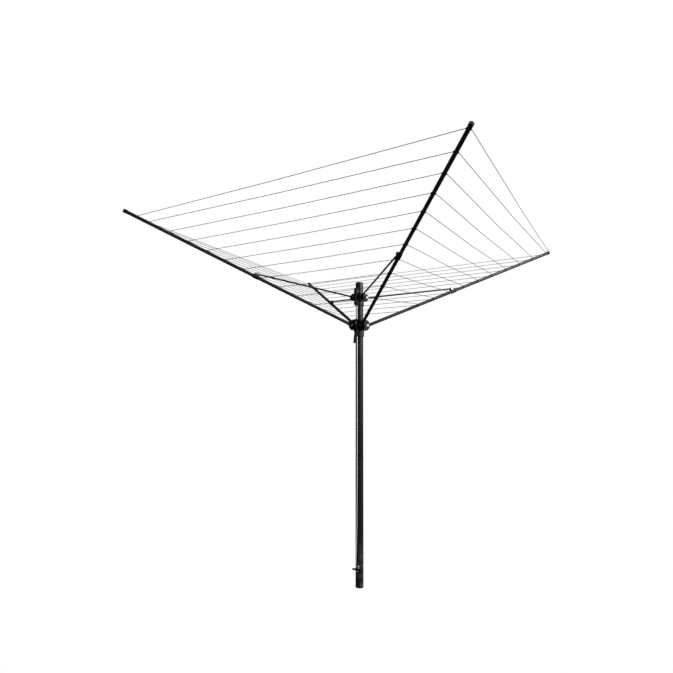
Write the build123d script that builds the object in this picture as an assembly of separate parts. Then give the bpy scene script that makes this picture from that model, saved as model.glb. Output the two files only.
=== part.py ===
from build123d import *
import os
from math import atan2, cos, degrees, hypot, radians, sin, sqrt, tan

os.makedirs("parts", exist_ok=True)

# A rotary clothesline, open. Millimetres, +Z up, origin at the middle of the foot's bottom face.
# Arm 0 points along -Y and arms 1, 2 and 3 follow counter-clockwise, seen from above.
ARMS = (0, 1, 2, 3)
FIRST_AZIMUTH = -90.0
CORD_AZIMUTH = 225.0  # the pulley, the pull cord, the lever and the cleat share this side
SCREW_AZIMUTHS = (45.0, 315.0)

# Fits between pieces
RUNNING = 0.05  # radial, between a pin and what turns on it
SEATED = 0.05  # radial, between pieces that are fixed to each other
SIDE_GAP = 0.4  # beside a strut's eye in its fork
ROOT_GAP = 0.5  # beside an arm's root in its clevis
EYE_GAP = 0.5  # around a strut's eye where it passes the bracket's saddle
LINE_GAP = 0.3  # between a line's end and the eyelet it leaves
CORD_GAP = 0.35  # around the pull cord in the pulley's groove

# Mast
MAST_D = 45.0
MAST_WALL = 1.8
MAST_TOP = 1736.0
MAST_R = MAST_D / 2
MAST_BORE = MAST_R - MAST_WALL
FOOT_H = 10.0
FOOT_GAP = 0.2
FOOT_SPIGOT = 60.0
MAST_CAP_H = 4.0
MAST_CAP_ROUND = 1.5
MAST_CAP_SPIGOT = 20.0
SOCKET_GRIP = 66.0  # of the tube, from its lower end up to the bead
BEAD_H = 3.0
BEAD_DEPTH = 0.7

# Heights of the two hubs' pivots, with the arms open
STRUT_TOP_DROP = 86.0  # below the top of the mast's tube
OPEN_GAP = 170.0  # between the strut pivots and the arm pivots
STRUT_TOP_Z = MAST_TOP - STRUT_TOP_DROP
ROOT_Z = STRUT_TOP_Z - OPEN_GAP

# Arms, measured along the tube from the root pivot
ROOT_OUT = 25.8  # from the mast's skin to the root pivots
ROOT_R = MAST_R + ROOT_OUT
ARM_SLOPE = 23.5
ARM_LENGTH = 1419.0
ARM_D = 19.0
ARM_WALL = 1.2
ARM_R = ARM_D / 2
ARM_START = 26.0
ROOT_EYE_R = ARM_R + 1.5
ROOT_PLUG = 34.0
TIP_CAP_WALL = 1.4
TIP_CAP_GRIP = 20.0

# Struts
STRUT_TOP_OUT = 23.0  # from the mast's skin to the strut pivots
STRUT_TOP_R = MAST_R + STRUT_TOP_OUT
STRUT_D = 10.0
STRUT_WALL = 1.5
STRUT_R = STRUT_D / 2
STRUT_EYE_R = STRUT_R + 2
STRUT_EYE_W = STRUT_D - 0.4
STRUT_ABOVE_ARM = 3.8  # between an arm and a strut that lies along it
BRACKET_RISE = ARM_R + STRUT_R + STRUT_ABOVE_ARM  # from the arm's axis up to the bracket's pivot
BRACKET_BACK = 14.0
BRACKET_AHEAD = 22.0
BRACKET_SKIN = 2.4
BRACKET_CHEEK = 4.0
BRACKET_EYE_R = 9.0

# Rivets
RIVET_R = 4.0
RIVET_BORE = 2.2
RIVET_HEAD_R = 6.5
RIVET_HEAD = 1.8

# Clotheslines
ROWS = 11
TIP_R = ROOT_R + ARM_LENGTH * cos(radians(ARM_SLOPE))
FIRST_ROW_INSET = 26.6
FIRST_ROW_R = TIP_R - FIRST_ROW_INSET
LAST_ROW_R = 289.0
ROW_SPACING = (FIRST_ROW_R - LAST_ROW_R) / (ROWS - 1)
BRACKET_ROW = 7  # the bracket's pivot stands just outside this row, counted from 0 at the tips
BRACKET_PAST_ROW = 22.98
BRACKET_ROW_R = FIRST_ROW_R - ROW_SPACING * BRACKET_ROW
BRACKET_AT = (BRACKET_ROW_R - ROOT_R) / cos(radians(ARM_SLOPE)) + BRACKET_PAST_ROW
SHORT_ARM = 3  # this arm's outermost eyelet sits further in
SHORT_ARM_INSET = 42.0
STEP_ARM = 1  # the line starts on this arm and steps in by a row after it
LINE_D = 3.0
EYELET_R = 3.5
EYELET_BORE = 1.9
EYELET_FLANGE_R = 5.5
EYELET_FLANGE = 1.5
EYELET_DEPTH = 5.5
START_KNOT_R = 4.5

# Upper hub, fixed near the top of the mast
UPPER_BOTTOM = STRUT_TOP_Z - 54
UPPER_TOP = STRUT_TOP_Z + 19
UPPER_EAR_BOTTOM = STRUT_TOP_Z - 22
UPPER_SCREW_Z = UPPER_BOTTOM + 12
UPPER_WALL = 4.2
UPPER_OUT = MAST_R + UPPER_WALL
UPPER_FORK_WALL = 7.6

# Pulley and its housing
PULLEY_R = 11.0
PULLEY_W = 8.0
PULLEY_GROOVE = 8.0  # to the middle of the cord
PULLEY_AT = MAST_R + 14.5  # from the mast's axis
PULLEY_Z = STRUT_TOP_Z + 30
PULLEY_SIDE_GAP = 0.6
PULLEY_PIN_R = 2.5
HOUSING_WALL = 3.0
HOUSING_OUT = PULLEY_AT + PULLEY_R + 8
HOUSING_FRONT = 5.0
HOUSING_TOP = PULLEY_Z + PULLEY_R + 5

# Lower hub, which slides on the mast
LOWER_BOTTOM = ROOT_Z - 68
LOWER_TOP = ROOT_Z + 31
LOWER_EAR_BOTTOM = ROOT_Z - 29
LOWER_WALL = 3.0
LOWER_FORK_WALL = 5.0
LOWER_EAR_OUT = 12.5
GLIDE_WALL = 2.0
GLIDE_H = 14.0
GLIDE_RUNNING = 0.1
GUIDE_W = 16.0
CORD_IN = PULLEY_AT - PULLEY_GROOVE
CORD_OUT = PULLEY_AT + PULLEY_GROOVE
GUIDE_OUT = CORD_IN + 7
ANCHOR_OUT = CORD_OUT + 9
ANCHOR_H = 20.0

# Latch lever on the lower hub
LEVER_AT = MAST_R + 21.5
LEVER_Z = ROOT_Z - 38
LEVER_W = 16.0
LEVER_EYE_R = 6.0
LEVER_THICK = 5.0
LEVER_LENGTH = 78.0
LEVER_LEAN = 12.0
LEVER_PIN_R = 2.5
LEVER_LUG = 4.0
LEVER_SIDE_GAP = 0.4
SPRING_WIRE = 1.4
SPRING_COILS = 4

# Pull cord and cleat
CORD_D = 4.0
CORD_HOLE = 2.7
CORD_KNOT_R = 4.0
TAIL_GAP = 0.2  # between the cord's end and its knot
TAIL_RISE = 10.0  # of the cord's end above the cleat's middle
CORD_LEAN_RISE = 230.0  # above the cleat, where the cord starts to lean; the folded hub stays clear of it
CORD_ROOM = 2.5  # beside the cleat's stem
CORD_UNDER = 6.0  # below the cleat's bar
CLEAT_Z = 104.0
CLEAT_BASE = 4.5
CLEAT_BASE_W = 14.0
CLEAT_BASE_H = 40.0
CLEAT_STEM = 9.0
STEM_SHARE = 0.7  # of the base's width
CLEAT_BAR = 8.0
CLEAT_BAR_H = 11.0
CLEAT_HALF = 25.0
SCREW_R = 2.0
SCREW_HEAD_R = 4.0
SCREW_HEAD = 2.4
SCREW_LENGTH = 12.0

BASE = (Align.CENTER, Align.CENTER, Align.MIN)


def azimuth(k):
    """The direction of arm k, in degrees."""
    return FIRST_AZIMUTH + 90.0 * k


def turned(degrees_about_z):
    return Rot(0, 0, degrees_about_z)


def rod(radius, z0, z1):
    return Pos(0, 0, z0) * Cylinder(radius, z1 - z0, align=BASE)


def rod_x(radius, x0, x1):
    return Pos(x0, 0, 0) * Rot(0, 90, 0) * Cylinder(radius, x1 - x0, align=BASE)


def rod_y(radius, y0, y1):
    return Pos(0, y0, 0) * Rot(-90, 0, 0) * Cylinder(radius, y1 - y0, align=BASE)


def block(x0, x1, y0, y1, z0, z1):
    middle = Pos((x0 + x1) / 2, (y0 + y1) / 2, (z0 + z1) / 2)
    return middle * Box(x1 - x0, y1 - y0, z1 - z0)


def plate(outline, y0, y1):
    """An outline in X and Z, made into a plate from y0 to y1."""
    face = make_face(Plane.XZ * Polyline(*outline, close=True))
    return Pos(0, y1, 0) * extrude(face, amount=y1 - y0, dir=(0, -1, 0))


def both_sides(shape):
    """The shape and its mirror image in the plane of X and Z."""
    return [shape, mirror(shape, Plane.XZ)]


def save(name, shapes, at=Location()):
    """One STEP file; a list of shapes stays a group of separate solids."""
    group = shapes if isinstance(shapes, list) else [shapes]
    solids = [at * s for shape in group for s in shape.solids()]
    whole = solids[0] if len(solids) == 1 else Compound(children=solids)
    whole.label = name
    export_step(whole, f"parts/{name}.step")


def run(radius, a, b):
    """A straight round run from point a to point b."""
    return Plane(origin=a, z_dir=b - a).location * rod(radius, 0, (b - a).length)


def hollow_rivet(half_length):
    """A through rivet along Y, with a hole down its middle and a head at each end."""
    body = rod_y(RIVET_R - RUNNING, -half_length, half_length)
    head = rod_y(RIVET_HEAD_R, half_length, half_length + RIVET_HEAD)
    body += [head, mirror(head, Plane.XZ)]
    return body - rod_y(RIVET_BORE, -half_length - RIVET_HEAD, half_length + RIVET_HEAD)


def screw(radius_from_axis, z):
    """A pan-head screw driven towards the mast's axis, its head on the given radius."""
    head = rod_x(SCREW_HEAD_R, radius_from_axis, radius_from_axis + SCREW_HEAD)
    shank = rod_x(SCREW_R, radius_from_axis - SCREW_LENGTH, radius_from_axis)
    slot_out = radius_from_axis + SCREW_HEAD
    slot = block(slot_out - 1, slot_out, -SCREW_HEAD_R, SCREW_HEAD_R, -0.5, 0.5)
    return Pos(0, 0, z) * (head + shank - slot)


# Mast
mast_tube = rod(MAST_R, FOOT_H + FOOT_GAP, MAST_TOP) - rod(MAST_BORE, 0, MAST_TOP)
screw_hole = rod_x(SCREW_R + SEATED, 0, UPPER_OUT + SCREW_HEAD)
for side in SCREW_AZIMUTHS:
    mast_tube -= turned(side) * Pos(0, 0, UPPER_SCREW_Z) * screw_hole
CLEAT_SCREW_Z = [CLEAT_Z + s * (CLEAT_BASE_H / 2 - SCREW_HEAD_R - 1) for s in (-1, 1)]
for z in CLEAT_SCREW_Z:
    mast_tube -= turned(CORD_AZIMUTH) * Pos(0, 0, z) * screw_hole
bead_z = FOOT_H + FOOT_GAP + SOCKET_GRIP
mast_tube -= rod(MAST_R, bead_z, bead_z + BEAD_H) - rod(MAST_R - BEAD_DEPTH, bead_z, bead_z + BEAD_H)
save("mast_tube", mast_tube)

spigot = rod(MAST_BORE - RUNNING, FOOT_H, FOOT_H + FOOT_SPIGOT)
foot = fillet(rod(MAST_R, 0, FOOT_H).edges().group_by(Axis.Z)[0], 3) + spigot
save("mast_foot", foot - rod(MAST_BORE - 5, FOOT_H, FOOT_H + FOOT_SPIGOT))

cap_top = rod(MAST_R, MAST_TOP, MAST_TOP + MAST_CAP_H)
cap_top = fillet(cap_top.edges().group_by(Axis.Z)[-1], MAST_CAP_ROUND)
cap_spigot = rod(MAST_BORE - SEATED, MAST_TOP - MAST_CAP_SPIGOT, MAST_TOP)
save("mast_cap", cap_top + cap_spigot - rod(MAST_BORE - 3, MAST_TOP - MAST_CAP_SPIGOT, MAST_TOP - 3))

# Upper hub: a sleeve, a fork for each strut and the pulley's housing
fork_gap = STRUT_R + SIDE_GAP
fork_out = fork_gap + UPPER_FORK_WALL
ear_r = STRUT_EYE_R + 3
upper = rod(UPPER_OUT, UPPER_BOTTOM, UPPER_TOP)
ear = plate(
    [
        (MAST_R, UPPER_TOP),
        (STRUT_TOP_R, UPPER_TOP),
        (STRUT_TOP_R + ear_r, STRUT_TOP_Z + ear_r / 2),
        (STRUT_TOP_R + ear_r, STRUT_TOP_Z - ear_r / 2),
        (STRUT_TOP_R, UPPER_EAR_BOTTOM),
        (MAST_R, UPPER_EAR_BOTTOM),
    ],
    fork_gap,
    fork_out,
)
ear -= Pos(STRUT_TOP_R, 0, STRUT_TOP_Z) * rod_y(RIVET_R, 0, fork_out)
for k in ARMS:
    upper += [turned(azimuth(k)) * e for e in both_sides(ear)]
housing_gap = PULLEY_W / 2 + PULLEY_SIDE_GAP
housing_half = housing_gap + HOUSING_WALL
housing = block(MAST_R, HOUSING_OUT, -housing_half, housing_half, UPPER_BOTTOM, HOUSING_TOP)
housing -= block(
    UPPER_OUT - 1,
    HOUSING_OUT - HOUSING_FRONT,
    -housing_gap,
    housing_gap,
    UPPER_BOTTOM,
    HOUSING_TOP,
)
housing -= Pos(PULLEY_AT, 0, PULLEY_Z) * rod_y(PULLEY_PIN_R, -housing_half, housing_half)
front_top = housing.edges().filter_by(Axis.Y).group_by(Axis.X)[-1]
housing = fillet(front_top, HOUSING_FRONT * 0.8)
upper += turned(CORD_AZIMUTH) * housing
upper -= rod(MAST_R + SEATED, UPPER_BOTTOM, HOUSING_TOP)
for side in SCREW_AZIMUTHS:
    upper -= turned(side) * Pos(0, 0, UPPER_SCREW_Z) * screw_hole
save("upper_hub", upper)
save("upper_hub_screws", [turned(s) * screw(UPPER_OUT, UPPER_SCREW_Z) for s in SCREW_AZIMUTHS])
pin_half = fork_out
top_rivet = Pos(STRUT_TOP_R, 0, STRUT_TOP_Z) * hollow_rivet(pin_half)
save("strut_top_rivets", [turned(azimuth(k)) * top_rivet for k in ARMS])

# Pulley with a round-bottomed groove
wheel = rod_y(PULLEY_R, -PULLEY_W / 2, PULLEY_W / 2)
wheel -= rod_y(PULLEY_PIN_R + RUNNING, -PULLEY_W / 2, PULLEY_W / 2)
groove_r = CORD_D / 2 + CORD_GAP
wheel -= Rot(90, 0, 0) * Torus(PULLEY_GROOVE, groove_r)
wheel -= rod_y(PULLEY_R, -groove_r, groove_r) - rod_y(PULLEY_GROOVE, -groove_r, groove_r)
pulley_place = turned(CORD_AZIMUTH) * Pos(PULLEY_AT, 0, PULLEY_Z)
save("pulley", wheel, pulley_place)
pulley_pin = rod_y(PULLEY_PIN_R - RUNNING / 2, -housing_half, housing_half)
pulley_pin += rod_y(PULLEY_PIN_R + 1.5, housing_half, housing_half + 1.5)
pulley_pin += rod_y(PULLEY_PIN_R + 1.5, -housing_half - 1.5, -housing_half)
save("pulley_pin", pulley_pin, pulley_place)

# Lower hub: a sliding sleeve, a clevis for each arm, the cord's guide and anchor, and the lever's lugs
glide_bore = MAST_R + GLIDE_RUNNING
hub_bore = glide_bore + GLIDE_WALL + SEATED
hub_out = hub_bore + LOWER_WALL
clevis_gap = ARM_R + ROOT_GAP
clevis_out = clevis_gap + LOWER_FORK_WALL
lower = rod(hub_out, LOWER_BOTTOM, LOWER_TOP)
root_ear = plate(
    [
        (hub_bore, LOWER_TOP),
        (ROOT_R, LOWER_TOP),
        (ROOT_R + LOWER_EAR_OUT, ROOT_Z + LOWER_EAR_OUT),
        (ROOT_R + LOWER_EAR_OUT, ROOT_Z - LOWER_EAR_OUT),
        (ROOT_R, LOWER_EAR_BOTTOM),
        (hub_bore, LOWER_EAR_BOTTOM),
    ],
    clevis_gap,
    clevis_out,
)
root_ear -= Pos(ROOT_R, 0, ROOT_Z) * rod_y(RIVET_R, 0, clevis_out)
for k in ARMS:
    lower += [turned(azimuth(k)) * e for e in both_sides(root_ear)]
guide = block(hub_bore, GUIDE_OUT, -GUIDE_W / 2, GUIDE_W / 2, LOWER_BOTTOM, LOWER_TOP)
anchor = block(hub_bore, ANCHOR_OUT, -GUIDE_W / 2, GUIDE_W / 2, LOWER_TOP - ANCHOR_H, LOWER_TOP)
anchor = fillet(anchor.edges().filter_by(Axis.Z).group_by(Axis.X)[-1], GUIDE_W * 0.3)
lever_gap = LEVER_W / 2 + LEVER_SIDE_GAP
lug_out = lever_gap + LEVER_LUG
lug = plate(
    [
        (hub_bore, LEVER_Z + 22),
        (LEVER_AT + LEVER_EYE_R, LEVER_Z + 8),
        (LEVER_AT + LEVER_EYE_R, LEVER_Z - LEVER_EYE_R),
        (hub_bore, LEVER_Z - LEVER_EYE_R),
    ],
    lever_gap,
    lug_out,
)
lug -= Pos(LEVER_AT, 0, LEVER_Z) * rod_y(LEVER_PIN_R, 0, lug_out)
cord_side = guide + anchor + both_sides(lug)
lower += turned(CORD_AZIMUTH) * cord_side
for x in (CORD_IN, CORD_OUT):
    lower -= turned(CORD_AZIMUTH) * Pos(x, 0, 0) * rod(CORD_HOLE, LOWER_BOTTOM, LOWER_TOP)
slot = block(CORD_IN, GUIDE_OUT, -CORD_HOLE, CORD_HOLE, LOWER_BOTTOM, LOWER_TOP - ANCHOR_H)
lower -= turned(CORD_AZIMUTH) * slot
lower -= rod(hub_bore, LOWER_BOTTOM, LOWER_TOP)
save("lower_hub", lower)
glide = rod(hub_bore - SEATED, 0, GLIDE_H) - rod(glide_bore, 0, GLIDE_H)
save("hub_glide_rings", [Pos(0, 0, z) * glide for z in (LOWER_BOTTOM, LOWER_TOP - GLIDE_H)])
stub = rod_y(RIVET_R - RUNNING, clevis_gap, clevis_out)
stub += rod_y(RIVET_HEAD_R, clevis_out, clevis_out + RIVET_HEAD)
stub -= rod_y(RIVET_BORE, clevis_gap + 1, clevis_out + RIVET_HEAD)
stub = Pos(ROOT_R, 0, ROOT_Z) * stub
save("arm_root_rivets", [turned(azimuth(k)) * s for k in ARMS for s in both_sides(stub)])

# Latch lever, its pin and its spring
lever_place = turned(CORD_AZIMUTH) * Pos(LEVER_AT, 0, LEVER_Z)
lever_blade = block(0, LEVER_THICK, -LEVER_W / 2, LEVER_W / 2, -LEVER_LENGTH, 0)
lever_blade = fillet(lever_blade.edges().filter_by(Axis.Y).group_by(Axis.Z)[0], LEVER_THICK * 0.45)
lever = Rot(0, -LEVER_LEAN, 0) * lever_blade + rod_y(LEVER_EYE_R, -LEVER_W / 2, LEVER_W / 2)
spring_half = SPRING_COILS * SPRING_WIRE / 2 + SPRING_WIRE
spring_bore = LEVER_PIN_R + 2 * SPRING_WIRE
lever -= rod_y(LEVER_PIN_R + RUNNING, -LEVER_W / 2, LEVER_W / 2)
lever -= rod_y(LEVER_EYE_R, -spring_half, spring_half)
save("latch_lever", lever, lever_place)
lever_pin = rod_y(LEVER_PIN_R - RUNNING / 2, -lug_out, lug_out)
lever_pin += [rod_y(LEVER_PIN_R + 1.5, lug_out, lug_out + 1.5)]
lever_pin += [rod_y(LEVER_PIN_R + 1.5, -lug_out - 1.5, -lug_out)]
save("latch_pin", lever_pin, lever_place)
coil_r = LEVER_PIN_R + SPRING_WIRE
wire_r = SPRING_WIRE / 2
first_coil = -(SPRING_COILS - 1) / 2 * SPRING_WIRE
coils = [
    Pos(0, first_coil + i * SPRING_WIRE, 0) * Rot(90, 0, 0) * Torus(coil_r, wire_r * 1.05)
    for i in range(SPRING_COILS)
]
spring = coils[0] + coils[1:]
spring += Pos(0, first_coil, coil_r) * rod_x(wire_r, -4, 0)
save("latch_spring", spring, lever_place)

# Cleat with two horns, screwed to the mast
cleat_profile = [
    (CLEAT_HALF, CLEAT_BAR_H / 4),
    (CLEAT_BASE_W / 2, CLEAT_BAR_H / 2),
    (-CLEAT_BASE_W / 2, CLEAT_BAR_H / 2),
    (-CLEAT_HALF, CLEAT_BAR_H / 4),
    (-CLEAT_HALF, -CLEAT_BAR_H / 4),
    (-CLEAT_BASE_W / 2, -CLEAT_BAR_H / 2),
    (CLEAT_BASE_W / 2, -CLEAT_BAR_H / 2),
    (CLEAT_HALF, -CLEAT_BAR_H / 4),
]
base_out = MAST_R + CLEAT_BASE
bar_in = base_out + CLEAT_STEM
bar_out = bar_in + CLEAT_BAR
bar = extrude(make_face(Plane.YZ * Polyline(*cleat_profile, close=True)), amount=CLEAT_BAR)
bar = fillet(bar.edges().filter_by(Axis.X), 1.2)
half_w = CLEAT_BASE_W / 2
cleat = Pos(bar_in, 0, 0) * bar
cleat += block(0, base_out, -half_w, half_w, -CLEAT_BASE_H / 2, CLEAT_BASE_H / 2)
cleat += block(0, bar_in, -half_w * STEM_SHARE, half_w * STEM_SHARE, -CLEAT_BAR_H / 2, CLEAT_BAR_H / 2)
cleat = Pos(0, 0, CLEAT_Z) * cleat
cleat -= rod(MAST_R + SEATED, 0, CLEAT_Z * 2)
for z in CLEAT_SCREW_Z:
    cleat -= Pos(0, 0, z) * screw_hole
cleat_place = turned(CORD_AZIMUTH)
save("cleat", cleat, cleat_place)
save("cleat_screws", [cleat_place * screw(base_out, z) for z in CLEAT_SCREW_Z])

# Pull cord: from the pulley down through the hub's guide and once round the cleat's stem, to its knot
cord_r = CORD_D / 2
stem_side = half_w * STEM_SHARE + cord_r + CORD_ROOM
behind_bar = base_out + CLEAT_STEM / 2
below = CLEAT_BAR_H / 2 + cord_r + CORD_UNDER
route = [
    (CORD_IN, 0, PULLEY_Z),
    (CORD_IN, 0, CLEAT_Z + CORD_LEAN_RISE),
    (behind_bar, -stem_side, CLEAT_Z),
    (behind_bar, -stem_side / 2, CLEAT_Z - below),
    (behind_bar, stem_side / 2, CLEAT_Z - below),
    (behind_bar, stem_side, CLEAT_Z),
    (behind_bar, stem_side, CLEAT_Z + TAIL_RISE),
]


def tangent_radii(points, share=0.45):
    """For each corner of a route, the largest arc that its two runs allow."""
    radii = []
    for a, b, c in zip(points, points[1:], points[2:]):
        u = Vector(*b) - Vector(*a)
        v = Vector(*c) - Vector(*b)
        turn = radians(u.get_angle(v))
        radii.append(share * min(u.length, v.length) / tan(turn / 2))
    return radii


def cord_tube(points, radius):
    path = FilletPolyline(*points, radius=tangent_radii(points))
    start = Plane(origin=points[0], z_dir=Vector(*points[1]) - Vector(*points[0]))
    return sweep(start * Circle(radius), path=path)


print("pull cord radii", [round(r, 1) for r in tangent_radii(route)])
save("pull_cord", cord_tube(route, cord_r), cleat_place)
tail_end = route[-1]
tail_knot = Pos(*tail_end) * Pos(0, 0, CORD_KNOT_R + TAIL_GAP) * Sphere(CORD_KNOT_R)
save("pull_cord_tail_knot", tail_knot, cleat_place)

# The cord's other end: over the pulley and down to a knot under the hub's anchor
over = Pos(PULLEY_AT, 0, PULLEY_Z) * Rot(90, 0, 0) * Torus(PULLEY_GROOVE, cord_r)
over &= block(0, HOUSING_OUT, -cord_r, cord_r, PULLEY_Z, HOUSING_TOP)
save("pull_cord_over_pulley", over, cleat_place)
anchor_bottom = LOWER_TOP - ANCHOR_H
save("hub_cord", Pos(CORD_OUT, 0, 0) * rod(cord_r, anchor_bottom, PULLEY_Z), cleat_place)
hub_knot = Pos(CORD_OUT, 0, anchor_bottom - CORD_KNOT_R) * Sphere(CORD_KNOT_R)
save("hub_cord_knot", hub_knot, cleat_place)


# Arms
def arm_place(k):
    return turned(azimuth(k)) * Pos(ROOT_R, 0, ROOT_Z) * Rot(0, -ARM_SLOPE, 0)


def row_radius(k, row):
    """How far from the mast's axis a row's eyelet stands on an arm, row 0 being the outermost."""
    inset = SHORT_ARM_INSET if (k == SHORT_ARM and row == 0) else 0
    return FIRST_ROW_R - inset - ROW_SPACING * row


def along_arm(radius):
    return (radius - ROOT_R) / cos(radians(ARM_SLOPE))


def height_at(radius):
    return ROOT_Z + (radius - ROOT_R) * tan(radians(ARM_SLOPE))


flange_y = ARM_R + EYELET_FLANGE
eyelet = rod_y(EYELET_FLANGE_R, ARM_R - 2, flange_y) - rod_x(ARM_R + SEATED, -10, 10)
eyelet += rod_y(EYELET_R, EYELET_DEPTH, flange_y)
eyelet -= rod_y(EYELET_BORE, 0, flange_y)
eyelet_hole = rod_y(EYELET_R + SEATED, -ARM_D, ARM_D)
crossing = rod_y(LINE_D / 2, -flange_y, flange_y)

tube_blank = rod_x(ARM_R, ARM_START, ARM_LENGTH - TIP_CAP_WALL)
tube_blank -= rod_x(ARM_R - ARM_WALL, ARM_START, ARM_LENGTH)

root = rod_y(ROOT_EYE_R, -ARM_R, ARM_R) + block(0, ARM_START, -ARM_R, ARM_R, -ARM_R, ARM_R)
root &= rod_x(ARM_R * 1.2, -ROOT_EYE_R, ARM_START)
root += rod_x(ARM_R - ARM_WALL - SEATED, ARM_START, ARM_START + ROOT_PLUG)
root -= rod_y(RIVET_R + RUNNING, -ARM_D, ARM_D)

tip_r = ARM_R + TIP_CAP_WALL
tip = rod_x(tip_r, ARM_LENGTH - TIP_CAP_GRIP, ARM_LENGTH)
tip = fillet(tip.edges().group_by(Axis.X)[-1], TIP_CAP_WALL * 1.5)
tip -= rod_x(ARM_R + SEATED, ARM_LENGTH - TIP_CAP_GRIP, ARM_LENGTH - TIP_CAP_WALL)

saddle_r = ARM_R + BRACKET_SKIN
cheek_in = STRUT_R + SIDE_GAP
cheek_out = cheek_in + BRACKET_CHEEK
cheek = plate(
    [
        (-BRACKET_BACK, 0),
        (BRACKET_AHEAD, 0),
        (BRACKET_AHEAD, saddle_r - 2),
        (BRACKET_EYE_R, BRACKET_RISE),
        (-BRACKET_EYE_R, BRACKET_RISE),
        (-BRACKET_BACK, saddle_r - 2),
    ],
    cheek_in,
    cheek_out,
)
cheek += Pos(0, 0, BRACKET_RISE) * rod_y(BRACKET_EYE_R, cheek_in, cheek_out)
bracket = rod_x(saddle_r, -BRACKET_BACK, BRACKET_AHEAD) + both_sides(cheek)
bracket -= rod_x(ARM_R + SEATED, -BRACKET_BACK, BRACKET_AHEAD)
bracket -= Pos(0, 0, BRACKET_RISE) * rod_y(STRUT_EYE_R + EYE_GAP, -cheek_in, cheek_in)
bracket -= Pos(0, 0, BRACKET_RISE) * rod_y(RIVET_R, -cheek_out, cheek_out)
bracket_at = Pos(BRACKET_AT, 0, 0)
bracket_rivet = Pos(BRACKET_AT, 0, BRACKET_RISE) * hollow_rivet(cheek_out)

# Strut, from the upper hub's fork out to the bracket
slope = radians(ARM_SLOPE)
pivot_r = ROOT_R + BRACKET_AT * cos(slope) - BRACKET_RISE * sin(slope)
pivot_z = ROOT_Z + BRACKET_AT * sin(slope) + BRACKET_RISE * cos(slope)
strut_length = hypot(pivot_r - STRUT_TOP_R, pivot_z - STRUT_TOP_Z)
strut_rise = degrees(atan2(pivot_z - STRUT_TOP_Z, pivot_r - STRUT_TOP_R))
strut = rod_x(STRUT_R, 0, strut_length)
strut -= rod_x(STRUT_R - STRUT_WALL, STRUT_EYE_R + 6, strut_length - STRUT_EYE_R - 6)
for x in (0, strut_length):
    strut += Pos(x, 0, 0) * rod_y(STRUT_EYE_R, -STRUT_EYE_W / 2, STRUT_EYE_W / 2)
for x in (0, strut_length):
    strut -= Pos(x, 0, 0) * rod_y(RIVET_R + RUNNING, -STRUT_R, STRUT_R)

for k in ARMS:
    at = arm_place(k)
    holes = [along_arm(row_radius(k, row)) for row in range(ROWS)]
    save(f"arm_tube_{k}", tube_blank - [Pos(x, 0, 0) * eyelet_hole for x in holes], at)
    save(f"arm_root_{k}", root, at)
    save(f"arm_tip_cap_{k}", tip, at)
    save(f"arm_eyelets_{k}", [Pos(x, 0, 0) * e for x in holes for e in both_sides(eyelet)], at)
    save(f"line_crossings_{k}", [Pos(x, 0, 0) * crossing for x in holes], at)
    save(f"strut_bracket_{k}", bracket, at * bracket_at)
    save(f"bracket_rivet_{k}", bracket_rivet, at)
    strut_at = turned(azimuth(k)) * Pos(STRUT_TOP_R, 0, STRUT_TOP_Z) * Rot(0, -strut_rise, 0)
    save(f"strut_{k}", strut, strut_at)

# Clotheslines: straight runs from each arm to the next
run_start = flange_y + LINE_D / 2 / sqrt(2) + LINE_GAP


def eyelet_point(k, row, side):
    """Where a run meets an arm: beside the row's eyelet, on the side towards the next arm (1) or the last (-1)."""
    radius = row_radius(k, row)
    return turned(azimuth(k)) * Pos(radius, side * run_start, height_at(radius))


# The line starts at a knot on the step arm's tip, and each lap ends a row further in
knot_x = ARM_LENGTH - TIP_CAP_GRIP / 2
knot_at = arm_place(STEP_ARM) * Pos(knot_x, -tip_r - START_KNOT_R, 0)
save("line_start_knot", knot_at * Sphere(START_KNOT_R - SEATED))
total = 0
for k in ARMS:
    following = (k + 1) % len(ARMS)
    steps_in = 1 if following == STEP_ARM else 0
    ends = []
    for row in range(steps_in, ROWS):
        a = eyelet_point(k, row, 1).position
        ends.append((a, eyelet_point(following, row - steps_in, -1).position))
    if steps_in:
        a = eyelet_point(k, 0, 1).position
        to_knot = knot_at.position - a
        ends.append((a, a + to_knot.normalized() * (to_knot.length - START_KNOT_R - LINE_GAP)))
    save(f"line_panel_{k}", [run(LINE_D / 2, a, b) for a, b in ends])
    total += sum((b - a).length for a, b in ends)
print("line", round(total / 1000, 2), "m")
print("bracket pivot", round(pivot_r, 2), round(pivot_z, 2), "strut", round(strut_length, 2), round(strut_rise, 3))
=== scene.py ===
from math import cos, pi, radians, sin, tan

import bpy
from mathutils import Matrix, Vector


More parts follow.
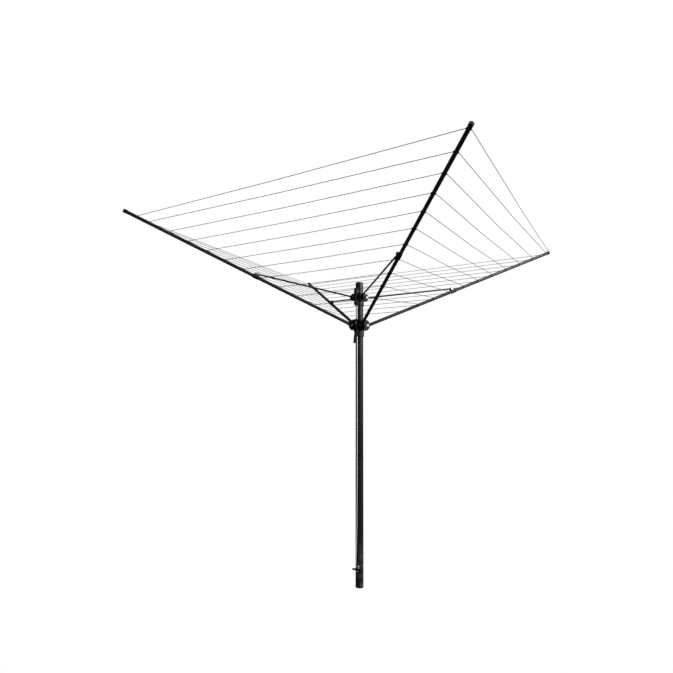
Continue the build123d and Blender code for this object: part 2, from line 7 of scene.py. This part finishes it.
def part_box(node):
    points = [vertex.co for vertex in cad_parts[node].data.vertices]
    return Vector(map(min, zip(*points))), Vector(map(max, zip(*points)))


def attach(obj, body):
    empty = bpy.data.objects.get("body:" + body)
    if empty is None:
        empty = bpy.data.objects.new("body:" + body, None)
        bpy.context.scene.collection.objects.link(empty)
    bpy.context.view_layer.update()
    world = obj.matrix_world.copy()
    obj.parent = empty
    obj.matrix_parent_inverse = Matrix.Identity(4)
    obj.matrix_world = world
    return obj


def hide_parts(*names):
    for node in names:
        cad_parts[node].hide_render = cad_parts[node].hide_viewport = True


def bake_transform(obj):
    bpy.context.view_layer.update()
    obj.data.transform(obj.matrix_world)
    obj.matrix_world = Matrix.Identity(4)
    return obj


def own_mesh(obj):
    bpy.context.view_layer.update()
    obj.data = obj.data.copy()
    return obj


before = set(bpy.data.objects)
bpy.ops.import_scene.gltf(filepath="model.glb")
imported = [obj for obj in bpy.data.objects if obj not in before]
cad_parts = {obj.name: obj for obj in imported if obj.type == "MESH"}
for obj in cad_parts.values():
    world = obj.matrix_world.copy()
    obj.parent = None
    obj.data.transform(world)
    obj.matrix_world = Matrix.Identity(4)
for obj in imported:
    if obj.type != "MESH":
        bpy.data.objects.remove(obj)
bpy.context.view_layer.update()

# ---------------------------------------------------------------------------
# Room: white to the camera but dim to the object, which keeps the paint black,
# with a lamp high on the right and a weak one on the left, and no floor. The
# camera is at waist height and looks up a little under the lines.
# ---------------------------------------------------------------------------
scene = bpy.context.scene
FRAME_WIDTH = 36.0
LENS = 29.5325
LOOK_UP = radians(8.125)
LOOK_SIDE = radians(15.991)
LEAN = radians(0.311)
CAMERA_AT = (-1.0249, -3.0828, 0.9489)

CLIP_END = 200

camera_data = bpy.data.cameras.new("camera")
camera_data.sensor_width = FRAME_WIDTH
camera_data.lens = LENS
camera_data.clip_end = CLIP_END
camera = bpy.data.objects.new("camera", camera_data)
scene.collection.objects.link(camera)
camera.location = CAMERA_AT
aim = Matrix.Rotation(-LOOK_SIDE, 4, "Z") @ Matrix.Rotation(pi / 2 + LOOK_UP, 4, "X")
camera.rotation_euler = (aim @ Matrix.Rotation(LEAN, 4, "Z")).to_euler()
scene.camera = camera

world = bpy.data.worlds.new("white_room")
scene.world = world
world.use_nodes = True
sky = world.node_tree.nodes["Background"]
sky.inputs["Color"].default_value = (1, 1, 1, 1)
ROOM_LIGHT = 0.12
seen = world.node_tree.nodes.new("ShaderNodeLightPath")
level = world.node_tree.nodes.new("ShaderNodeMath")
level.operation = "MULTIPLY_ADD"
level.inputs[1].default_value = 1 - ROOM_LIGHT
level.inputs[2].default_value = ROOM_LIGHT
world.node_tree.links.new(seen.outputs["Is Camera Ray"], level.inputs[0])
world.node_tree.links.new(level.outputs[0], sky.inputs["Strength"])
scene.view_settings.view_transform = "Standard"


def area_light(name, at, towards, size, power):
    lamp = bpy.data.lights.new(name, "AREA")
    lamp.size = size
    lamp.energy = power
    holder = bpy.data.objects.new(name, lamp)
    scene.collection.objects.link(holder)
    holder.location = at
    aim = Vector(towards) - Vector(at)
    holder.rotation_euler = aim.to_track_quat("-Z", "Y").to_euler()


KEY_AT = (2.2, -2.2, 3.0)
KEY_SIZE = 1.0
KEY_POWER = 420
FILL_AT = (-4.2, -1.6, 1.8)
FILL_SIZE = 1.2
FILL_POWER = 25
area_light("key_right", KEY_AT, (0, 0, 1.35), KEY_SIZE, KEY_POWER)
area_light("fill_left", FILL_AT, (0, 0, 1.2), FILL_SIZE, FILL_POWER)


# ---------------------------------------------------------------------------
# Mast: a round steel tube in anthracite powder coat, with a plastic foot and
# a flat top cap. The coat has a fine orange peel, long faint drawing marks
# from the tube below it, and dust and scuffs near the ground.
# ---------------------------------------------------------------------------
class Value:
    """A shader socket that takes part in arithmetic; each operator adds a Math node."""

    def __init__(self, tree, socket):
        self.tree = tree
        self.socket = socket

    def math(self, operation, a, b=None, clamp=False):
        node = self.tree.nodes.new("ShaderNodeMath")
        node.operation = operation
        node.use_clamp = clamp
        for socket, value in zip(node.inputs, (a, b)):
            if isinstance(value, Value):
                self.tree.links.new(value.socket, socket)
            elif value is not None:
                socket.default_value = value
        return Value(self.tree, node.outputs[0])

    def __add__(self, other):
        return self.math("ADD", self, other)

    def __radd__(self, other):
        return self.math("ADD", other, self)

    def __sub__(self, other):
        return self.math("SUBTRACT", self, other)

    def __rsub__(self, other):
        return self.math("SUBTRACT", other, self)

    def __mul__(self, other):
        return self.math("MULTIPLY", self, other)

    def __rmul__(self, other):
        return self.math("MULTIPLY", other, self)

    def above(self, low, high):
        """0 under low, 1 over high and a straight rise between."""
        return self.math("MULTIPLY", self - low, 1 / (high - low), clamp=True)


class Finish:
    """A material's node tree, with its Principled shader and a few short ways to add nodes."""

    def __init__(self, name):
        self.material = bpy.data.materials.new(name)
        self.material.use_nodes = True
        self.tree = self.material.node_tree
        self.shader = self.tree.nodes["Principled BSDF"]

    def node(self, kind, settings=None, output=0, **inputs):
        made = self.tree.nodes.new(kind)
        for key, value in (settings or {}).items():
            setattr(made, key, value)
        for key, value in inputs.items():
            socket = made.inputs[key.replace("_", " ")]
            if isinstance(value, Value):
                self.tree.links.new(value.socket, socket)
            else:
                socket.default_value = value
        return Value(self.tree, made.outputs[output])

    def place(self):
        return self.node("ShaderNodeTexCoord", output="Object")

    def stretched(self, scale):
        return self.node("ShaderNodeMapping", Vector=self.place(), Scale=scale)

    def noise(self, scale, detail=3.0, roughness=0.5, at=None):
        return self.node(
            "ShaderNodeTexNoise",
            Vector=at or self.place(),
            Scale=scale,
            Detail=detail,
            Roughness=roughness,
        )

    def height(self):
        parts = self.tree.nodes.new("ShaderNodeSeparateXYZ")
        self.tree.links.new(self.place().socket, parts.inputs[0])
        return Value(self.tree, parts.outputs["Z"])

    def mixed(self, factor, a, b):
        node = self.tree.nodes.new("ShaderNodeMix")
        node.data_type = "RGBA"
        for socket, value in zip((node.inputs[0], node.inputs[6], node.inputs[7]), (factor, a, b)):
            if isinstance(value, Value):
                self.tree.links.new(value.socket, socket)
            else:
                socket.default_value = value if isinstance(value, (int, float)) else (*value, 1)
        return Value(self.tree, node.outputs[2])

    def to(self, name, value):
        """Joins a value to one of the Principled shader's sockets, or sets a number or colour there."""
        socket = self.shader.inputs[name]
        if isinstance(value, Value):
            self.tree.links.new(value.socket, socket)
        elif isinstance(value, (int, float)):
            socket.default_value = value
        else:
            socket.default_value = (*value, 1)

    def bump(self, height, strength, distance):
        normal = self.node("ShaderNodeBump", Height=height, Strength=strength, Distance=distance)
        self.to("Normal", normal)


def dress(node, finish):
    """Gives a CAD node its finish."""
    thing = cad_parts[node]
    thing.data.materials.clear()
    thing.data.materials.append(finish.material)


PAINT_SPECULAR = 0.12  # well under a real coat's 0.5, chosen to keep the black deep in this room


def powder_coat(name, base, light, scuff_height):
    finish = Finish(name)
    cloud = finish.noise(9.0, 4.0).above(0.35, 0.7)
    peel = finish.noise(900.0, 2.0)
    along = finish.noise(40.0, 2.0, at=finish.stretched((14, 14, 0.35)))
    colour = finish.mixed(cloud * 0.6, base, light)
    colour = finish.mixed(along.above(0.62, 0.8) * 0.35, colour, light)
    if scuff_height:
        dust = (1 - finish.height().above(0.02, scuff_height)) * finish.noise(30, 5).above(0.4, 0.75)
        colour = finish.mixed(dust * 0.5, colour, (0.16, 0.15, 0.14))
        finish.to("Roughness", 0.36 + cloud * 0.07 + dust * 0.25)
    else:
        finish.to("Roughness", 0.38 + cloud * 0.08)
    finish.to("Base Color", colour)
    finish.to("Specular IOR Level", PAINT_SPECULAR)
    finish.bump(peel, 0.35, 0.0002)
    return finish


SCUFF_HEIGHT = 0.3
mast_coat = powder_coat("mast_powder_coat", (0.004, 0.0042, 0.0046), (0.012, 0.0122, 0.013), SCUFF_HEIGHT)
dress("mast_tube", mast_coat)


def moulded(name, base, light, roughness):
    """Moulded plastic: a fine spark-eroded grain, with paler, polished places where it is handled."""
    finish = Finish(name)
    grain = finish.noise(1400.0, 2.0, 0.6)
    worn = finish.noise(55.0, 4.0).above(0.5, 0.78)
    finish.to("Base Color", finish.mixed(worn * 0.55, base, light))
    finish.to("Roughness", roughness + grain * 0.12 - worn * 0.08)
    finish.to("Specular IOR Level", PAINT_SPECULAR)
    finish.bump(grain, 0.45, 0.00025)
    return finish


black_plastic = moulded("black_plastic", (0.004, 0.004, 0.0042), (0.012, 0.012, 0.0125), 0.46)
for name in ("mast_foot", "mast_cap"):
    dress(name, black_plastic)


# ---------------------------------------------------------------------------
# Upper hub: one black moulding with four strut forks and the pulley housing,
# held by two screws, with zinc-plated rivets through its forks.
# ---------------------------------------------------------------------------
def plated(name, colour, roughness):
    """Plated or blackened steel: fine turning marks under a slight haze."""
    finish = Finish(name)
    haze = finish.noise(300.0, 4.0).above(0.3, 0.8)
    finish.to("Base Color", finish.mixed(haze * 0.5, colour, tuple(c * 0.7 for c in colour)))
    finish.to("Metallic", 1.0)
    finish.to("Roughness", roughness + haze * 0.18)
    finish.bump(finish.noise(1500.0, 1.0), 0.15, 0.0001)
    return finish


zinc = plated("zinc_plating", (0.3, 0.303, 0.306), 0.42)
dress("upper_hub", black_plastic)
for name in ("upper_hub_screws", "strut_top_rivets", "pulley_pin"):
    dress(name, zinc)
dress("pulley", moulded("pulley_nylon", (0.03, 0.03, 0.032), (0.07, 0.07, 0.07), 0.4))

# ---------------------------------------------------------------------------
# Lower hub: the black moulding that slides on the mast, with its rivets and
# dark glide rings, and the latch lever on its blackened pin and spring.
# ---------------------------------------------------------------------------
dress("lower_hub", black_plastic)
dress("arm_root_rivets", zinc)
blackened = plated("blackened_steel", (0.06, 0.06, 0.065), 0.35)
for name in ("latch_pin", "latch_spring"):
    dress(name, blackened)
dress("hub_glide_rings", moulded("glide_nylon", (0.03, 0.03, 0.03), (0.06, 0.06, 0.06), 0.4))
lever_grey = moulded("lever_grey", (0.012, 0.0125, 0.013), (0.03, 0.031, 0.032), 0.42)
dress("latch_lever", lever_grey)

# ---------------------------------------------------------------------------
# Arms and struts: powder-coated tubes; roots, end caps, brackets and eyelets
# are black mouldings pressed on or into them.
# ---------------------------------------------------------------------------
# Painted highlight: the arms get the mast's powder coat made about twice as pale, which paints in the
# grey sheen along the arms.
arm_coat_painted_highlight = powder_coat("arm_powder_coat_painted_highlight", (0.008, 0.0082, 0.0088), (0.022, 0.0224, 0.0235), 0)
eyelet_plastic = moulded("eyelet_plastic", (0.02, 0.02, 0.021), (0.05, 0.05, 0.05), 0.4)
ARMS = range(4)
for k in ARMS:
    dress(f"arm_tube_{k}", arm_coat_painted_highlight)
    dress(f"strut_{k}", arm_coat_painted_highlight)
    for name in ("arm_root", "arm_tip_cap", "strut_bracket"):
        dress(f"{name}_{k}", black_plastic)
    dress(f"arm_eyelets_{k}", eyelet_plastic)
    dress(f"bracket_rivet_{k}", zinc)

# ---------------------------------------------------------------------------
# Cleat: a black two-horned moulding, held to the mast by two plated screws.
# ---------------------------------------------------------------------------
dress("cleat", black_plastic)
dress("cleat_screws", zinc)


# ---------------------------------------------------------------------------
# Clothesline: one PVC-coated line wound inwards in eleven rows. Each run is
# made as two halves, one on each arm, that meet midway between the arms.
# ---------------------------------------------------------------------------
LINE_THICK = 0.003
ROWS = 11
ROOT_OUT = 0.0483
ROOT_HEIGHT = 1.480
SLOPE = radians(23.5)
ARM_LONG = 1.419
FIRST_ROW_INSET = 0.0266
FIRST_ROW = ROOT_OUT + ARM_LONG * cos(SLOPE) - FIRST_ROW_INSET
LAST_ROW = 0.289
ROW_STEP = (FIRST_ROW - LAST_ROW) / (ROWS - 1)
SHORT_ARM = 3
SHORT_ARM_INSET = 0.042
STEP_ARM = 1
EYELET_MOUTH = 0.0110  # from the arm's middle plane to the lip of its eyelet
INNER_SHARE = 0.7  # of that, where a run starts inside the eyelet
SLACK_SPREAD = 0.0323  # how far sideways a half still reaches when the arms are in
SLACK_FLARE = 0.019  # and how much further for each metre of its row's radius


def pvc_line():
    """Dark grey PVC over a twisted core, which shows as faint ridges; grime dulls it in places."""
    finish = Finish("pvc_line")
    grime = finish.noise(25.0, 4.0).above(0.45, 0.8)
    ridges = finish.noise(600.0, 2.0)
    finish.to("Base Color", finish.mixed(grime * 0.6, (0.03, 0.031, 0.032), (0.015, 0.015, 0.015)))
    finish.to("Roughness", 0.4 + grime * 0.2)
    finish.bump(ridges, 0.3, 0.0002)
    return finish


line_finish = pvc_line()


def arm_turn(k):
    """Turns a point from the +X side of the mast to an arm; arm 0 points along -Y."""
    return Matrix.Rotation(radians(90 * k - 90), 4, "Z")


def row_radius(k, row):
    inset = SHORT_ARM_INSET if (k == SHORT_ARM and row == 0) else 0
    return FIRST_ROW - inset - ROW_STEP * row


def row_point(k, row, sideways=0.0):
    """A point at a row's eyelet, so far to the side of the arm's middle plane."""
    radius = row_radius(k, row)
    height = ROOT_HEIGHT + (radius - ROOT_OUT) * tan(SLOPE)
    return arm_turn(k) @ Vector((radius, sideways, height))


def tube_along(name, points, thick, finish, order=2, sides=2):
    """A round tube whose middle follows a NURBS spline with these control points."""
    curve = bpy.data.curves.new(name, "CURVE")
    curve.dimensions = "3D"
    curve.bevel_depth = thick / 2
    curve.bevel_resolution = sides
    curve.use_fill_caps = True
    curve.resolution_u = 6
    spline = curve.splines.new("NURBS")
    spline.points.add(len(points) - 1)
    for point, at in zip(spline.points, points):
        point.co = (*at, 1)
    spline.order_u = order
    spline.use_endpoint_u = True
    curve.materials.append(finish.material)
    piece = bpy.data.objects.new(name, curve)
    scene.collection.objects.link(piece)
    return piece


def deselect():
    for thing in bpy.context.selected_objects:
        thing.select_set(False)
    bpy.context.view_layer.objects.active = None


def made_mesh(piece):
    """Turns a curve into a plain mesh that sits at the origin."""
    deselect()
    piece.select_set(True)
    bpy.context.view_layer.objects.active = piece
    bpy.ops.object.convert(target="MESH")
    return bpy.context.active_object


def half_run(name, k, side, start_row, meet, replaced):
    """Half a run: out of the arm's eyelet, past its lip and straight to the meeting point."""
    mouth = row_point(k, start_row, side * EYELET_MOUTH)
    inner = row_point(k, start_row, side * EYELET_MOUTH * INNER_SHARE)
    lip = row_point(k, start_row, side * (EYELET_MOUTH + LINE_THICK / 2))
    away = (meet - lip).normalized()
    leave = lip + away * LINE_THICK
    piece = made_mesh(tube_along(name, [inner, mouth, lip, leave, meet], LINE_THICK, line_finish))
    arm_way = arm_turn(k) @ Vector((cos(SLOPE), 0, sin(SLOPE)))
    reach = meet - lip
    slack = arm_way * reach.dot(arm_way)
    sideways = (arm_turn(k).inverted() @ reach).y * side
    keep = (SLACK_SPREAD + SLACK_FLARE * row_radius(k, start_row)) / sideways
    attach(piece, f"arm{k}")
    reach - slack
    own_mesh(piece)
    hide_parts(replaced)
    return piece


for k in ARMS:
    after = (k + 1) % len(ARMS)
    steps_in = 1 if after == STEP_ARM else 0
    for row in range(steps_in, ROWS):
        start = row_point(k, row)
        end = row_point(after, row - steps_in)
        meet = (start + end) / 2
        half_run(f"line_{k}_row_{row + 1}_out", k, 1, row, meet, f"line_panel_{k}")
        half_run(f"line_{after}_row_{row + 1}_in", after, -1, row - steps_in, meet, f"line_panel_{k}")
for k in ARMS:
    dress(f"line_crossings_{k}", line_finish)


# ---------------------------------------------------------------------------
# The line's start: tied in a small knot beside the step arm's end cap, with a
# short springy tail that curls up from it.
# ---------------------------------------------------------------------------
KNOT_STEPS = 24  # points round a knot's loop
KNOT_DEPTH = 1.4
START_KNOT_ACROSS = 0.0065


def knot(name, centre, across, thick, finish, body, node):
    """A small overhand knot, drawn as a trefoil that is pulled tight."""
    points = []
    for i in range(KNOT_STEPS + 1):
        t = 2 * pi * i / KNOT_STEPS
        flat = Vector((sin(t) + 2 * sin(2 * t), cos(t) - 2 * cos(2 * t), -KNOT_DEPTH * sin(3 * t)))
        points.append(Vector(centre) + flat * across / 6)
    piece = made_mesh(tube_along(name, points, thick, finish, order=3, sides=2))
    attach(piece, body)
    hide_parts(node)
    return piece


low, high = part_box("line_start_knot")
knot_at = (low + high) / 2
knot("start_knot", knot_at, START_KNOT_ACROSS, LINE_THICK, line_finish, "arm1", "line_start_knot")
tail = [
    knot_at,
    knot_at + Vector((0.004, -0.002, 0.006)),
    knot_at + Vector((0.006, -0.003, 0.016)),
    knot_at + Vector((-0.002, -0.002, 0.024)),
    knot_at + Vector((-0.010, 0.000, 0.018)),
]
start_tail = made_mesh(tube_along("start_tail", tail, LINE_THICK, line_finish, order=3))
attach(start_tail, "arm1")
first_start = row_point(0, 0)
first_meet = (first_start + knot_at) / 2
half_run("line_0_row_1_out", 0, 1, 0, first_meet, "line_panel_0")
first_half = made_mesh(tube_along("line_1_start", [knot_at, first_meet], LINE_THICK, line_finish))
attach(first_half, "arm1")
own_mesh(first_half)
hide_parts("line_panel_0")

# ---------------------------------------------------------------------------
# Pull cord: a pale braided cord. It is tied under the lower hub's anchor, goes
# up over the pulley, down through the hub's guide and under the cleat's stem,
# and its end is knotted there.
# ---------------------------------------------------------------------------
CORD_THICK = 0.004
CORD_AZIMUTH = 225
TAIL_KNOT_ACROSS = 0.0065
ANCHOR_KNOT_ACROSS = 0.0068
TIGHT = 0.8  # a knot's strands are drawn thinner than the cord
cord_turn = Matrix.Rotation(radians(CORD_AZIMUTH), 4, "Z")
CORD_ROUTE = [
    (0.0450, 0, 1.6800),
    (0.0450, 0, 1.6885),
    (0.0290, 0, 1.6885),
    (0.0290, 0, 1.6800),
    (0.0290, 0, 1.6560),
    (0.0290, 0, 0.3340),
    (0.0315, -0.0094, 0.1040),
    (0.0315, -0.0047, 0.0905),
    (0.0315, 0.0047, 0.0905),
    (0.0315, 0.0094, 0.1040),
    (0.0315, 0.0094, 0.1140),
]


def braided():
    """Polyester braid: crossing strands that catch the light, a little fuzzy and unevenly dirty."""
    finish = Finish("braided_cord")
    strands = finish.node(
        "ShaderNodeTexWave",
        {"bands_direction": "DIAGONAL", "wave_type": "BANDS"},
        Vector=finish.place(),
        Scale=260.0,
        Distortion=1.5,
        Detail=2.0,
    )
    dirt = finish.noise(18.0, 4.0).above(0.4, 0.8)
    colour = finish.mixed(strands * 0.5, (0.5, 0.5, 0.5), (0.38, 0.38, 0.38))
    finish.to("Base Color", finish.mixed(dirt * 0.3, colour, (0.28, 0.28, 0.27)))
    finish.to("Roughness", 0.75 + strands * 0.15)
    finish.bump(strands, 0.6, 0.0004)
    return finish


cord_finish = braided()
route = [cord_turn @ Vector(point) for point in CORD_ROUTE]
pull_cord = tube_along("pull_cord_run", route, CORD_THICK, cord_finish, order=3, sides=3)
tail_knot_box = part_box("pull_cord_tail_knot")
tail_knot = knot(
    "cord_tail_knot",
    (tail_knot_box[0] + tail_knot_box[1]) / 2,
    TAIL_KNOT_ACROSS,
    CORD_THICK * TIGHT,
    cord_finish,
    "mast",
    "pull_cord_tail_knot",
)
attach(pull_cord, "mast")
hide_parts("pull_cord", "pull_cord_over_pulley")
hub_low, hub_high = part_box("hub_cord")
hub_mid = (hub_low + hub_high) / 2
HUB_CORD_RINGS = 24  # points along it
hub_points = [
    Vector((hub_mid.x, hub_mid.y, hub_high.z + (hub_low.z - hub_high.z) * i / HUB_CORD_RINGS))
    for i in range(HUB_CORD_RINGS + 1)
]
hub_cord = made_mesh(tube_along("hub_cord_run", hub_points, CORD_THICK, cord_finish, sides=3))
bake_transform(hub_cord)
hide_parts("hub_cord")
low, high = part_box("hub_cord_knot")
knot(
    "anchor_knot",
    (low + high) / 2,
    ANCHOR_KNOT_ACROSS,
    CORD_THICK * TIGHT,
    cord_finish,
    "hub",
    "hub_cord_knot",
)
